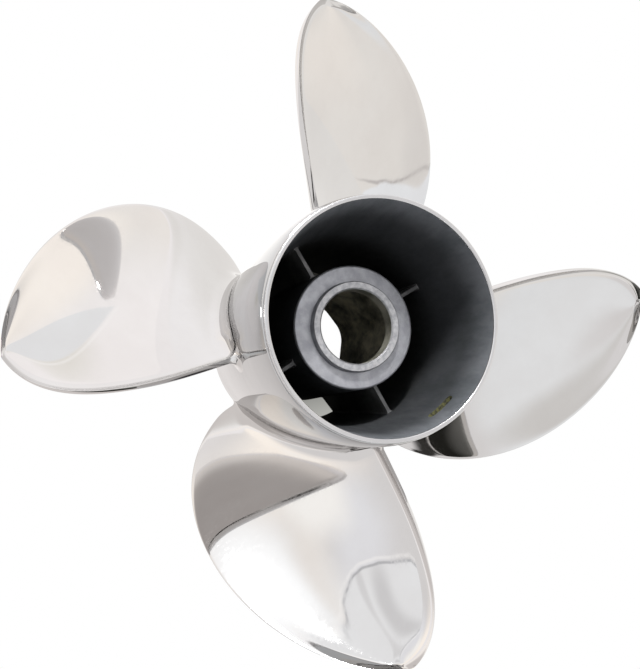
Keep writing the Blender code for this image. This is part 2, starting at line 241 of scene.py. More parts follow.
# %% Belt marks
belt_group, belt_in, belt_out = new_group(
    "belt_marks",
    {
        "Place": None, "Marks": 90.0, "Mark Share": 0.01, "Wave Scale": 26.0,
        "Smoothest": 0.02, "Roughest": 0.07,
    },
    ("Roughness", "Height"),
)
CLIMB_AFT = 9.0
CLIMB_OUT = 0.7
HAZE_START = 0.15
HAZE_END = 0.40
x, y, z = split(belt_group, belt_in["Place"])
flat = join_axes(belt_group, x, y, 0.0)
way_x, way_y, _ = split(belt_group, vector_calc(belt_group, "NORMALIZE", flat))
climb = calc(belt_group, "MULTIPLY", vector_calc(belt_group, "LENGTH", flat), CLIMB_OUT)
climb = calc(belt_group, "MULTIPLY_ADD", z, CLIMB_AFT, climb)
marks = add_noise(belt_group, join_axes(belt_group, way_x, way_y, climb), belt_in["Marks"], 3.0)
waves = add_noise(belt_group, belt_in["Place"], belt_in["Wave Scale"], 1.0)
haze = smooth_range(belt_group, calc(belt_group, "MULTIPLY", marks, waves), HAZE_START, HAZE_END)
haze_span = calc(belt_group, "SUBTRACT", belt_in["Roughest"], belt_in["Smoothest"])
belt_roughness = calc(belt_group, "MULTIPLY_ADD", haze_span, haze, belt_in["Smoothest"])
feed(belt_out["Roughness"], belt_roughness)
feed(belt_out["Height"], calc(belt_group, "MULTIPLY_ADD", marks, belt_in["Mark Share"], waves))
print("belt_marks has", len(belt_group.nodes), "nodes")

# %% [markdown]
# This is painted crevice shade. Ambient occlusion measures how shut in a place is, the colour is
# darkened there, and streaks that run round the barrel break up the edge of the shade.

# %% Crevice haze
crevice_shade_group, crevice_in, crevice_out = new_group(
    "crevice_shade",
    {
        "Place": None, "Clean": (0.56, 0.55, 0.54), "Hazed": (0.40, 0.40, 0.40),
        "Reach": 0.03, "Open": 0.92, "Shut": 0.45, "Streaks": 120.0,
    },
    ("Color",),
)
DRAWN_ROUND = (0.3, 0.3, 1.6)
UNEVENNESS = 0.24
nearness = add_node(crevice_shade_group, "ShaderNodeAmbientOcclusion", samples=8)
feed(nearness.inputs["Distance"], crevice_in["Reach"])
drawn_place = vector_calc(crevice_shade_group, "MULTIPLY", crevice_in["Place"], DRAWN_ROUND)
streaks = add_noise(crevice_shade_group, drawn_place, crevice_in["Streaks"], 3.0)
uneven = calc(crevice_shade_group, "MULTIPLY_ADD", streaks, UNEVENNESS, -UNEVENNESS / 2)
shut_in = calc(crevice_shade_group, "ADD", nearness.outputs["AO"], uneven)
shut_share = smooth_range(crevice_shade_group, shut_in, crevice_in["Open"], crevice_in["Shut"])
shaded_colour = mix_color(crevice_shade_group, shut_share, crevice_in["Clean"], crevice_in["Hazed"])
feed(crevice_out["Color"], shaded_colour)
print("crevice_shade has", len(crevice_shade_group.nodes), "nodes")

# %% [markdown]
# ## Finishes
# Mirror-polished steel for everything outside. Its colour is what polished stainless reflects,
# a little over half of the light. Clouds of slightly duller steel and faint belt marks keep it
# from looking like chrome plate.

# %% Polished steel
def add_bump(shader, height, distance):
    bump = add_node(shader.id_data, "ShaderNodeBump")
    bump.inputs["Distance"].default_value = distance
    feed(bump.inputs["Height"], height)
    feed(shader.inputs["Normal"], bump.outputs["Normal"])


POLISH_WAVE_HEIGHT = 0.000012


def new_polish(name, dark, light, smoothest, roughest):
    """Mirror steel: cloudy tint, belt marks in the roughness and a weak wave. Also its tint socket."""
    material, tree, shader = new_material(name)
    place = object_place(tree)
    tint = use_group(tree, mottle_group, Place=place, Scale=22.0, Softness=0.25, Dark=dark, Light=light)
    feed(shader.inputs["Base Color"], tint.outputs["Color"])
    belt = use_group(tree, belt_group, Place=place, Smoothest=smoothest, Roughest=roughest)
    feed(shader.inputs["Roughness"], belt.outputs["Roughness"])
    add_bump(shader, belt.outputs["Height"], POLISH_WAVE_HEIGHT)
    shader.inputs["Metallic"].default_value = 1.0
    return material, tree, shader, tint.outputs["Color"]


polished = new_polish("polished_stainless", (0.545, 0.532, 0.525), (0.575, 0.567, 0.562), 0.02, 0.07)[0]
lip_steel = new_polish("rubbed_lip", (0.50, 0.498, 0.503), (0.555, 0.552, 0.556), 0.16, 0.26)[0]

# %% [markdown]
# The barrel's steel is a darker copy of the blades' polish, and between the blade roots it is
# darker still: both are painted shade.

# %% Hazed barrel steel
shaded_barrel_steel, tree, shader, unshaded_tint = new_polish(
    "polished_barrel", (0.435, 0.437, 0.440), (0.480, 0.480, 0.483), 0.02, 0.07,
)
crevice = use_group(
    tree, crevice_shade_group, Place=object_place(tree), Clean=unshaded_tint, Hazed=(0.25, 0.252, 0.256),
    Reach=0.045, Open=0.95, Shut=0.50,
)
feed(shader.inputs["Base Color"], crevice.outputs["Color"])

# %% [markdown]
# The exhaust passage keeps its cast skin. It is darker deep inside, partly from soot and partly as
# painted shade, and a blue grey near the outlet. A band of painted light makes the outlet rim lighter.

# %% Sooted casting
SOOT_AND_SHADE_DEPTH = 0.050
OUTLET_TONE_HEIGHT = 0.105
RIM_START = 0.116
RIM_END = 0.146
RIM_LIGHT_GAIN = 3.3
CAST_SHINE = 0.16


def new_casting(name, deep_dark, deep_light, outlet_dark, outlet_light, roughness, grain, drawn_out):
    """A cast skin: one mottle deep inside, one near the outlet, and a band of painted light at the rim."""
    material, tree, shader = new_material(name)
    height = split(tree, object_place(tree))[2]
    place = vector_calc(tree, "MULTIPLY", object_place(tree), (1.0, 1.0, drawn_out))
    deep = use_group(tree, mottle_group, Place=place, Scale=90.0, Dark=deep_dark, Light=deep_light)
    near = use_group(tree, mottle_group, Place=place, Scale=60.0, Dark=outlet_dark, Light=outlet_light)
    outward = smooth_range(tree, height, SOOT_AND_SHADE_DEPTH, OUTLET_TONE_HEIGHT)
    skin = mix_color(tree, outward, deep.outputs["Color"], near.outputs["Color"])
    in_rim_light = smooth_range(tree, height, RIM_START, RIM_END)
    rim_light_gain = calc(tree, "MULTIPLY_ADD", in_rim_light, RIM_LIGHT_GAIN - 1.0, 1.0)
    feed(shader.inputs["Base Color"], vector_calc(tree, "SCALE", skin, rim_light_gain))
    dull = calc(tree, "MULTIPLY_ADD", near.outputs["Share"], -CAST_SHINE, roughness)
    feed(shader.inputs["Roughness"], dull)
    shader.inputs["Metallic"].default_value = 0.35
    grit = use_group(tree, grit_group, Place=place)
    add_bump(shader, grit.outputs["Height"], grain)
    return material


cast = new_casting(
    "sooted_casting", (0.014, 0.014, 0.014), (0.026, 0.026, 0.025),
    (0.028, 0.031, 0.034), (0.054, 0.057, 0.062), 0.66, 0.00003, 0.35,
)
# The ribs have the same skin, much lighter towards their aft edges: that is painted light.
rib_skin = new_casting(
    "rib_casting", (0.020, 0.020, 0.020), (0.045, 0.045, 0.044),
    (0.160, 0.160, 0.162), (0.360, 0.360, 0.362), 0.60, 0.00006, 1.0,
)
# The bore's skin is dark olive; its light blotches are painted sheen.
bore_skin_and_sheen = new_casting(
    "oily_bore_casting", (0.030, 0.028, 0.018), (0.620, 0.580, 0.450),
    (0.060, 0.060, 0.045), (0.340, 0.330, 0.280), 0.46, 0.00010, 0.6,
)

# %% [markdown]
# The hub's aft face was machined and then blasted, which leaves it satin and faintly blotched.
# The ring stands proud, so the washer has rubbed it brighter. Lettering that a maker would cast
# into the face is left out.

# %% Satin steel
def new_satin(name, dark, light, roughness, scale, grain):
    material, tree, shader = new_material(name)
    place = object_place(tree)
    blotch = use_group(tree, mottle_group, Place=place, Scale=scale, Softness=0.16, Dark=dark, Light=light)
    feed(shader.inputs["Base Color"], blotch.outputs["Color"])
    dull = calc(tree, "MULTIPLY_ADD", blotch.outputs["Share"], -0.08, roughness)
    feed(shader.inputs["Roughness"], dull)
    shader.inputs["Metallic"].default_value = 0.8
    grit = use_group(tree, grit_group, Place=place, Fine_Scale=3000.0, Coarse_Scale=700.0)
    add_bump(shader, grit.outputs["Height"], grain)
    return material


satin = new_satin("satin_hub_face", (0.30, 0.305, 0.33), (0.38, 0.385, 0.41), 0.50, 160.0, 0.00006)
rubbed = new_satin("rubbed_ring", (0.30, 0.305, 0.32), (0.45, 0.45, 0.46), 0.40, 420.0, 0.00010)

# %% [markdown]
# Exhaust deposits have dried yellow-green inside the small slot.

# %% Slot deposit
deposit, tree, shader = new_material("slot_deposit")
place = object_place(tree)
crust = use_group(
    tree, mottle_group, Place=place, Scale=900.0, Softness=0.12,
    Dark=(0.004, 0.004, 0.002), Light=(0.075, 0.073, 0.021),
)
feed(shader.inputs["Base Color"], crust.outputs["Color"])
shader.inputs["Roughness"].default_value = 0.85
grit = use_group(tree, grit_group, Place=place, Coarse_Scale=1200.0)
add_bump(shader, grit.outputs["Height"], 0.0002)

# %% [markdown]
# ## Modelling helpers
# Every piece starts as a primitive that is alone in the selection. An opening is cut as a tool
# would cut it: the cutter's own edges are rounded first, and a Boolean takes its shape away.

# %% Piece helpers
def add_piece(name, add, **settings):
    bpy.ops.object.select_all(action="DESELECT")
    add(**settings)
    piece = bpy.context.object
    piece.name = name
    piece.data.name = name
    return piece


def cut_out(piece, cutter, rounding, steps, axis):
    """Rounds the cutter's edges that run along an axis (0 to 2), and cuts it out of the piece."""
    bevel = cutter.modifiers.new("rounding", "BEVEL")
    bevel.width = rounding
    bevel.segments = steps
    bevel.limit_method = "WEIGHT"
    weights = cutter.data.attributes.new("bevel_weight_edge", "FLOAT", "EDGE")
    for edge in cutter.data.edges:
        start, end = (cutter.data.vertices[index].co for index in edge.vertices)
        weights.data[edge.index].value = float(abs(start[axis] - end[axis]) > 0.001)
    cut = piece.modifiers.new("cut", "BOOLEAN")
    cut.object = cutter
    cut.solver = "EXACT"
    bpy.context.view_layer.objects.active = piece
    bpy.ops.object.modifier_apply(modifier="cut")
    bpy.data.objects.remove(cutter)


def finish_faces(piece, finishes, zone_of):
    """Gives the piece its finishes, and each face the finish of the zone that it lies in."""
    for material in finishes.values():
        piece.data.materials.append(material)
    zones = list(finishes)
    for face in piece.data.polygons:
        face.material_index = zones.index(zone_of(face))


def finish_piece(piece, node, angle):
    """Smooths all but the edges over an angle. The piece rides with the casting, for its node."""
    bpy.ops.object.select_all(action="DESELECT")
    piece.select_set(True)
    bpy.context.view_layer.objects.active = piece
    bpy.ops.object.shade_smooth_by_angle(angle=math.radians(angle))
    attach(piece, "root")
    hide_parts(node)
    print(piece.name, "stands for", node, "with", len(piece.data.polygons), "faces")


# %% [markdown]
# ## Turned pieces
# Barrel and hub are bodies of revolution. By hand one would draw half of the section and spin
# it, and that is what this does: a single point is extruded from corner to corner, and the
# chain is spun round the shaft.

# %% Turning helpers
SPIN_STEPS = 192
WELD = 0.000005


def even_steps(start, end, count):
    return [start + (end - start) * step / count for step in range(count + 1)]


def quarter_turn(radius, height, out, up, first, count):
    """A quarter of an ellipse round a middle, from an angle in degrees down to 90 less."""
    turns = even_steps(math.radians(first), math.radians(first - 90), count)
    return [(radius + out * math.cos(turn), height + up * math.sin(turn)) for turn in turns]


def turn_profile(name, profile):
    """Spins a closed profile of (radius, height) points round Z into a closed shell."""
    start = (profile[0][0], 0.0, profile[0][1])
    piece = add_piece(name, bpy.ops.mesh.primitive_plane_add, size=0.001, location=start)
    bpy.ops.object.transform_apply(location=True)
    bpy.ops.object.mode_set(mode="EDIT")
    bpy.ops.mesh.select_all(action="SELECT")
    bpy.ops.mesh.merge(type="CENTER")
    for before, after in zip(profile, profile[1:] + profile[:1]):
        step = (after[0] - before[0], 0.0, after[1] - before[1])
        bpy.ops.mesh.extrude_vertices_move(TRANSFORM_OT_translate={"value": step})
    bpy.ops.mesh.select_all(action="SELECT")
    bpy.ops.mesh.remove_doubles(threshold=WELD)
    bpy.ops.mesh.spin(steps=SPIN_STEPS, angle=2 * math.pi, center=(0, 0, 0), axis=(0, 0, 1))
    bpy.ops.mesh.select_all(action="SELECT")
    bpy.ops.mesh.remove_doubles(threshold=WELD)
    bpy.ops.mesh.normals_make_consistent(inside=False)
    bpy.ops.object.mode_set(mode="OBJECT")
    return piece


# %% [markdown]
# ## The barrel
# Outside it is one long arc, fullest near the aft end, then a shoulder that rolls in to the
# thin lip round the outlet. Inside it opens out towards the outlet.

# %% Barrel sizes
FRONT_RADIUS = 0.0552
FULL_RADIUS = 0.0598
FULL_HEIGHT = 0.100
SHOULDER_HEIGHT = 0.110
LIP_FOOT_HEIGHT = 0.1405
LIP_OUTER_RADIUS = 0.0570
LIP_INNER_RADIUS = 0.0549
LIP_ROUNDING = 0.0006
PASSAGE_FRONT_RADIUS = 0.0473
PASSAGE_TAPER = 0.032
OUTLET_FLARE = 0.0030
OUTLET_FLARE_START = 0.084
OUTLET_FLARE_POWER = 1.3


def barrel_radius(height):
    away = (height - FULL_HEIGHT) / FULL_HEIGHT
    return FULL_RADIUS - (FULL_RADIUS - FRONT_RADIUS) * away**2


def passage_radius(height):
    flare = max(0.0, height - OUTLET_FLARE_START) / (BARREL_LENGTH - OUTLET_FLARE_START)
    return PASSAGE_FRONT_RADIUS + PASSAGE_TAPER * height + OUTLET_FLARE * flare**OUTLET_FLARE_POWER


print("barrel wall in front", round(FRONT_RADIUS - PASSAGE_FRONT_RADIUS, 4))

# %% [markdown]
# The profile runs over the lip, down the outside and up the passage. One spin closes it, so the
# wall has its real thickness everywhere.

# %% Barrel blank
SHOULDER_STEPS = 24
FLANK_STEPS = 36
PASSAGE_STEPS = 40
LIP_STEPS = 4
inside_top = BARREL_LENGTH - LIP_ROUNDING
corner = (inside_top, LIP_ROUNDING, LIP_ROUNDING)
drop = barrel_radius(SHOULDER_HEIGHT) - LIP_OUTER_RADIUS
rise = LIP_FOOT_HEIGHT - SHOULDER_HEIGHT
flank = even_steps(SHOULDER_HEIGHT, 0.0, FLANK_STEPS)[1:]
passage = even_steps(0.0, inside_top, PASSAGE_STEPS)[:-1]
barrel_profile = quarter_turn(LIP_INNER_RADIUS + LIP_ROUNDING, *corner, 180, LIP_STEPS)
barrel_profile += quarter_turn(LIP_OUTER_RADIUS - LIP_ROUNDING, *corner, 90, LIP_STEPS)
barrel_profile += quarter_turn(LIP_OUTER_RADIUS, SHOULDER_HEIGHT, drop, rise, 90, SHOULDER_STEPS)
barrel_profile += [(barrel_radius(height), height) for height in flank]
barrel_profile += [(passage_radius(height), height) for height in passage]
barrel = turn_profile("barrel", barrel_profile)
print("barrel blank", len(barrel.data.polygons), "faces")

# %% [markdown]
# A small slot goes through the wall just ahead of the lip. It is cut as a milling cutter would
# do it, with a round-ended block that stands radially in the wall.

# %% Slot
SLOT_ANGLE = math.radians(21.2)
SLOT_HEIGHT = 0.1262
SLOT_LENGTH = 0.0155
SLOT_WIDTH = 0.0052
SLOT_CUT_DEPTH = 0.030
SLOT_END_ROUNDING = 0.0022
WALL_MIDDLE = (FULL_RADIUS + LIP_INNER_RADIUS) / 2

slot_way = Vector((math.cos(SLOT_ANGLE), math.sin(SLOT_ANGLE), 0.0))
slot = add_piece("slot", bpy.ops.mesh.primitive_cube_add, size=1.0)
slot.scale = (SLOT_CUT_DEPTH, SLOT_LENGTH, SLOT_WIDTH)
bpy.ops.object.transform_apply(scale=True)
slot.location = slot_way * WALL_MIDDLE + Vector((0.0, 0.0, SLOT_HEIGHT))
slot.rotation_euler = (0.0, 0.0, SLOT_ANGLE)
cut_out(barrel, slot, SLOT_END_ROUNDING, 5, 0)
print("with its slot, the barrel has", len(barrel.data.polygons), "faces")

# %% [markdown]
# Where a face lies decides its finish: polish outside, the cast skin in the passage, dried
# deposit on the slot's walls and rubbed steel on the lip.

# %% Barrel finish
FACE_SLACK = 0.0003
LIP_SLACK = 0.0005
SIDEWAYS = 0.3


def barrel_zone(face):
    height = face.center.z
    radius = math.hypot(face.center.x, face.center.y)
    near_slot = (face.center - slot_way * radius).xy.length < SLOT_LENGTH
    at_slot = near_slot and abs(height - SLOT_HEIGHT) < SLOT_WIDTH
    if at_slot and abs(face.normal.dot(slot_way)) < SIDEWAYS:
        return "slot"
    if radius < passage_radius(height) + FACE_SLACK and height < inside_top - LIP_SLACK:
        return "passage"
    return "lip" if height > LIP_FOOT_HEIGHT else "outside"


barrel_finishes = {"outside": shaded_barrel_steel, "passage": cast, "slot": deposit, "lip": lip_steel}
finish_faces(barrel, barrel_finishes, barrel_zone)
finish_piece(barrel, "outer_barrel", 35)

# %% [markdown]
# ## The inner hub
# A sleeve with a flat aft face, a raised ring round a bright chamfered mouth, and behind the
# mouth an eight-sided pocket, with well rounded corners, that grips the shaft bushing. The face
# and the ring's top were machined and blasted; the rest was left as cast.

# %% Hub
HUB_FRONT_HEIGHT = 0.0015
HUB_FACE_HEIGHT = 0.0999
HUB_RING_HEIGHT = 0.1042
HUB_FRONT_RADIUS = 0.0352
HUB_FACE_RADIUS = 0.0318
HUB_EDGE_ROUNDING = 0.0012
RING_OUTER_RADIUS = 0.0229
RING_CORNER = 0.0004
MOUTH_RADIUS = 0.0189
MOUTH_CHAMFER = 0.0007
MOUTH_DEPTH = 0.0090
POCKET_CORNER_RADIUS = 0.0288
POCKET_CORNER_ANGLE = math.radians(87.0)
POCKET_SIDES = 8
POCKET_CORNER_ROUNDING = 0.0062


def hub_radius(height):
    share = (height - HUB_FRONT_HEIGHT) / (HUB_FACE_HEIGHT - HUB_FRONT_HEIGHT)
    return HUB_FRONT_RADIUS + (HUB_FACE_RADIUS - HUB_FRONT_RADIUS) * share


mouth_floor = HUB_RING_HEIGHT - MOUTH_DEPTH
hub_profile = [
    (MOUTH_RADIUS + MOUTH_CHAMFER, HUB_RING_HEIGHT),
    (RING_OUTER_RADIUS - RING_CORNER, HUB_RING_HEIGHT),
    (RING_OUTER_RADIUS, HUB_RING_HEIGHT - RING_CORNER),
    (RING_OUTER_RADIUS, HUB_FACE_HEIGHT + RING_CORNER),
    (RING_OUTER_RADIUS + RING_CORNER, HUB_FACE_HEIGHT),
]
hub_profile += quarter_turn(
    HUB_FACE_RADIUS - HUB_EDGE_ROUNDING, HUB_FACE_HEIGHT - HUB_EDGE_ROUNDING,
    HUB_EDGE_ROUNDING, HUB_EDGE_ROUNDING, 90, 5,
)
hub_profile += [
    (HUB_FRONT_RADIUS, HUB_FRONT_HEIGHT),
    (MOUTH_RADIUS, HUB_FRONT_HEIGHT),
    (MOUTH_RADIUS, mouth_floor),
    (MOUTH_RADIUS, HUB_RING_HEIGHT - MOUTH_CHAMFER),
]
hub = turn_profile("hub", hub_profile)
print("hub blank", len(hub.data.vertices), "points")

# %% [markdown]
# The pocket is cut from the front with an eight-sided post. Only its upright edges are rounded.

# %% Hub pocket
POCKET_OVERRUN = 0.010
pocket_depth = mouth_floor + POCKET_OVERRUN
pocket = add_piece(
    "pocket",
    bpy.ops.mesh.primitive_cylinder_add,
    vertices=POCKET_SIDES,
    radius=POCKET_CORNER_RADIUS,
    depth=pocket_depth,
    location=(0, 0, mouth_floor - pocket_depth / 2),
    rotation=(0, 0, POCKET_CORNER_ANGLE - math.pi / 2),
)
bpy.ops.object.transform_apply(location=True, rotation=True)
cut_out(hub, pocket, POCKET_CORNER_ROUNDING, 6, 2)
INWARD = -0.5


def hub_zone(face):
    radius = math.hypot(face.center.x, face.center.y)
    outward = face.normal.x * face.center.x + face.normal.y * face.center.y
    if face.center.z > HUB_RING_HEIGHT - RING_CORNER:
        return "ring"
    if outward < INWARD * radius and face.normal.z < 0.5:
        return "bore"
    return "face" if face.center.z > HUB_FACE_HEIGHT - HUB_EDGE_ROUNDING else "outside"


finish_faces(hub, {"face": satin, "outside": cast, "bore": bore_skin_and_sheen, "ring": rubbed}, hub_zone)
finish_piece(hub, "inner_hub", 30)

# %% [markdown]
# ## The ribs
# Four plates join hub and barrel. They are thicker at the front, as a casting needs, and flare
# out in a fillet where they meet the two walls.

# %% Ribs
RIB_ANGLES = (11.5, 101.6, 192.6, 283.8)
RIB_FRONT_HEIGHT = 0.0030
RIB_AFT_HEIGHT = 0.0840
RIB_FOOT_RADIUS = 0.0268
RIB_RIM_RADIUS = 0.0573
RIB_FRONT_FOOT_THICKNESS = 0.0128
RIB_FRONT_RIM_THICKNESS = 0.0045
RIB_AFT_THICKNESS = 0.0018
RIB_FILLET = 0.0012
RIB_SINK = 0.0004
RIB_CUTS = 23


def fillet_swell(distance, reach):
    """How far a quarter-round fillet stands out at a distance from the wall it runs in to."""
    if distance >= reach:
        return 0.0
    down = 1.0 - max(0.0, distance) / reach
    return reach * (1.0 - math.sqrt(max(0.0, 1.0 - down * down)))


def rib_point(across, side, along):
    """A point of the rib: across 0 to 1 from hub to barrel, side -1 to 1, along 0 to 1 going aft."""
    height = RIB_FRONT_HEIGHT + (RIB_AFT_HEIGHT - RIB_FRONT_HEIGHT) * along
    inner = hub_radius(height) - RIB_SINK
    outer = passage_radius(height) + RIB_SINK
    radius = inner + (outer - inner) * across
    out = (radius - RIB_FOOT_RADIUS) / (RIB_RIM_RADIUS - RIB_FOOT_RADIUS)
    front = RIB_FRONT_FOOT_THICKNESS + (RIB_FRONT_RIM_THICKNESS - RIB_FRONT_FOOT_THICKNESS) * out
    half = (front + (RIB_AFT_THICKNESS - front) * along) / 2
    half += fillet_swell(min(radius - inner, outer - radius) - RIB_SINK, RIB_FILLET)
    return Vector((radius, side * half, height))


for index, rib_angle in enumerate(RIB_ANGLES):
    rib = add_piece(f"rib_{index + 1}", bpy.ops.mesh.primitive_cube_add, size=1.0)
    bpy.ops.object.mode_set(mode="EDIT")
    bpy.ops.mesh.select_all(action="SELECT")
    bpy.ops.mesh.subdivide(number_cuts=RIB_CUTS)
    bpy.ops.object.mode_set(mode="OBJECT")
    for vertex in rib.data.vertices:
        across = (1.0 - math.cos(math.pi * (vertex.co.x + 0.5))) / 2
        vertex.co = rib_point(across, vertex.co.y * 2, vertex.co.z + 0.5)
    rib.data.transform(Matrix.Rotation(math.radians(rib_angle), 4, "Z"))
    rib.data.materials.append(rib_skin)
    finish_piece(rib, f"hub_rib_{index + 1}", 40)

# %% [markdown]
# ## The blades
# A propeller blade is a screw surface. Each section lies on a cylinder round the shaft and
# climbs with the pitch. A sphere already has the right net: its rings become the sections from
# root to tip, and one turn round a ring becomes the way along the pressure face, round the
# trailing edge, back along the suction face and round the leading edge.

# %% Blade sizes
TIP_RADIUS = 0.165
PITCH = 0.490
TIP_PITCH_LOSS = 0.092
TIP_PITCH_POWER = 4.5
ROOT_RADIUS = 0.056
HALF_WIDTH_ANGLE = 35.1
LEADING_POWER = 2.77
LEADING_ROUNDNESS = 0.478
TRAILING_POWER = 3.63
TRAILING_ROUNDNESS = 0.838
ROOT_MIDDLE_ANGLE = 145.45
SKEW_ANGLE = 22.2
SKEW_POWER = 2.37
ROOT_MIDDLE_HEIGHT = 0.0447
RAKE_SLOPE = 0.335
RAKE_CURVE = 0.38
LEADING_RELIEF_ANGLE = 2.2
LEADING_RELIEF_REACH = 0.015
TRAILING_RELIEF_ANGLE = 2.9
TRAILING_RELIEF_REACH = 0.052
FRONT_CLEARANCE = 0.0005
ROOT_THICKNESS = 0.0085
TIP_THICKNESS = 0.0034
TIP_THINNING = 0.1
FORWARD_FULLNESS = 0.9
LEADING_THICKNESS = 0.0014
TRAILING_THICKNESS = 0.0034
TRAILING_TIP_THICKNESS = 0.0029
TRAILING_FADE_POWER = 16
TRAILING_LIFT = 0.0028
TRAILING_LIFT_GAIN = 0.0005
CUP_DEPTH = 0.0030
CUP_LOSS = 0.0012
CUP_WIDTH = 0.0064
HOLLOW = 0.0019
HOLLOW_GAIN = 0.0020
TAIL_HOLLOW = 0.0006
NOSE_ROLL = 0.0005
NOSE_ROLL_GAIN = 0.0005
NOSE_POWER = 6
NOSE_PEAK = 17
FACE_FILLET = 0.0100
BACK_FILLET = 0.0060
LEADING_FILLET = 0.0030
TRAILING_FILLET = 0.0060
FILLET_RUN_IN = 0.022
TIP_ROUNDING = 0.0008
TRAILING_CORNER = 0.0003
print("blade runs from", ROOT_RADIUS, "to", TIP_RADIUS)

# %% [markdown]
# A section is known by where it starts and ends round the shaft, how it climbs and how far it
# stands aft. Its thickness and the small waves of its pressure face lie on top of that. The
# cup is the lip that curls up along the trailing edge and helps the blade to grip.

# %% Blade section
def span_share(radius):
    return min(1.0, max(0.0, radius - ROOT_RADIUS) / (TIP_RADIUS - ROOT_RADIUS))


def edge_angle(radius, power, roundness):
    share = min(1.0, radius / TIP_RADIUS)
    return HALF_WIDTH_ANGLE * (1.0 - share**power) ** roundness


def relief(radius, angle, reach):
    near = 1.0 - (radius - ROOT_RADIUS) / reach
    return angle * min(1.0, max(0.0, near)) ** 2


def section(radius):
    """The blade's section at a radius, as the values that place a point on it."""
    span = span_share(radius)
    middle = ROOT_MIDDLE_ANGLE + SKEW_ANGLE * span**SKEW_POWER
    start = middle - edge_angle(radius, LEADING_POWER, LEADING_ROUNDNESS)
    start += relief(radius, LEADING_RELIEF_ANGLE, LEADING_RELIEF_REACH)
    end = middle + edge_angle(radius, TRAILING_POWER, TRAILING_ROUNDNESS)
    end -= relief(radius, TRAILING_RELIEF_ANGLE, TRAILING_RELIEF_REACH)
    climb = (PITCH - TIP_PITCH_LOSS * span**TIP_PITCH_POWER) / (2 * math.pi)
    out = radius - ROOT_RADIUS
    height = ROOT_MIDDLE_HEIGHT + RAKE_SLOPE * out + RAKE_CURVE * out**2
    height += PITCH * (middle - ROOT_MIDDLE_ANGLE) / 360.0
    slant = math.hypot(radius, climb)
    return {
        "start": math.radians(start),
        "end": math.radians(end),
        "middle": math.radians(middle),
        "climb": climb,
        "height": height,
        "normal": (-climb / slant, radius / slant),
        "chord": math.radians(end - start) * slant,
        "span": span,
    }


def trailing_thickness(span):
    full = TRAILING_THICKNESS + (TRAILING_TIP_THICKNESS - TRAILING_THICKNESS) * span
    return max(LEADING_THICKNESS, full * (1.0 - span**TRAILING_FADE_POWER))


def thickness_at(part, share):
    edge = LEADING_THICKNESS + (trailing_thickness(part["span"]) - LEADING_THICKNESS) * share
    middle = ROOT_THICKNESS + (TIP_THICKNESS - ROOT_THICKNESS) * part["span"]
    width = (part["end"] - part["start"]) / math.radians(2 * HALF_WIDTH_ANGLE)
    middle *= TIP_THINNING + (1.0 - TIP_THINNING) * math.sqrt(max(0.0, width))
    fullness = math.sin(math.pi * min(1.0, max(0.0, share)) ** FORWARD_FULLNESS)
    return edge + max(0.0, middle - edge) * fullness


def cup_width(chord):
    return min(CUP_WIDTH, 0.4 * chord)


def face_height(part, share):
    """How far the pressure face stands off the plain screw surface at a share of the chord."""
    span = part["span"]
    chord = part["chord"]
    narrow = min(1.0, chord / (4 * CUP_WIDTH))
    cup = (CUP_DEPTH - CUP_LOSS * span) * narrow
    lift = (TRAILING_LIFT + TRAILING_LIFT_GAIN * span) * narrow
    width = cup_width(chord)
    rise = max(0.0, share * chord - (chord - width)) / max(width, 1e-6)
    base = LEADING_THICKNESS / 2
    hollow = -(HOLLOW * span + HOLLOW_GAIN * span**2) * 4 * share * (1.0 - share) * narrow
    tail = TAIL_HOLLOW * math.sin(2 * math.pi * share) * narrow
    nose = (NOSE_ROLL + NOSE_ROLL_GAIN * span) * NOSE_PEAK * share * (1.0 - share) ** NOSE_POWER * narrow
    return base + (lift - base - cup) * share + hollow + tail + nose + cup * rise**2


# %% [markdown]
# The way round a section is a list of stations, each with its distance from the leading or the
# trailing edge. They crowd together at the round leading edge, at the start of the cup and at
# the two small corners of the trailing edge, where the surface turns fastest.

# %% Blade stations
NOSE_STEPS = 6
BODY_STEPS = 56
CUP_STEPS = 16
CORNER_STEPS = 4

# Each station is a zone and the share of the way through it.
STATIONS = [("nose", 1.0 - math.cos(math.pi / 2 * step / NOSE_STEPS)) for step in range(NOSE_STEPS)]
STATIONS += [("body", step / BODY_STEPS) for step in range(BODY_STEPS)]
STATIONS += [("cup", step / CUP_STEPS) for step in range(CUP_STEPS)]
STATIONS += [("corner", math.sin(math.pi / 2 * step / CORNER_STEPS)) for step in range(CORNER_STEPS + 1)]
LOOP = 2 * len(STATIONS) - 1
print("one turn round a section has", LOOP, "stations")


def along_chord(part, station):
    """Distance from the leading edge, share of the nose's roundness, and drop at the corner."""
    kind, share = station
    chord = part["chord"]
    nose = min(LEADING_THICKNESS / 2, chord * 0.2)
    corner = min(TRAILING_CORNER, chord * 0.1)
    cup_start = chord - cup_width(chord)
    if kind == "nose":
        return nose * share, math.sqrt(1.0 - (1.0 - share) ** 2), 0.0
    if kind == "body":
        return nose + (cup_start - nose) * share, 1.0, 0.0
    if kind == "cup":
        return cup_start + (chord - corner - cup_start) * share, 1.0, 0.0
    return chord - corner + corner * share, 1.0, corner * (1.0 - math.sqrt(max(0.0, 1.0 - share**2)))


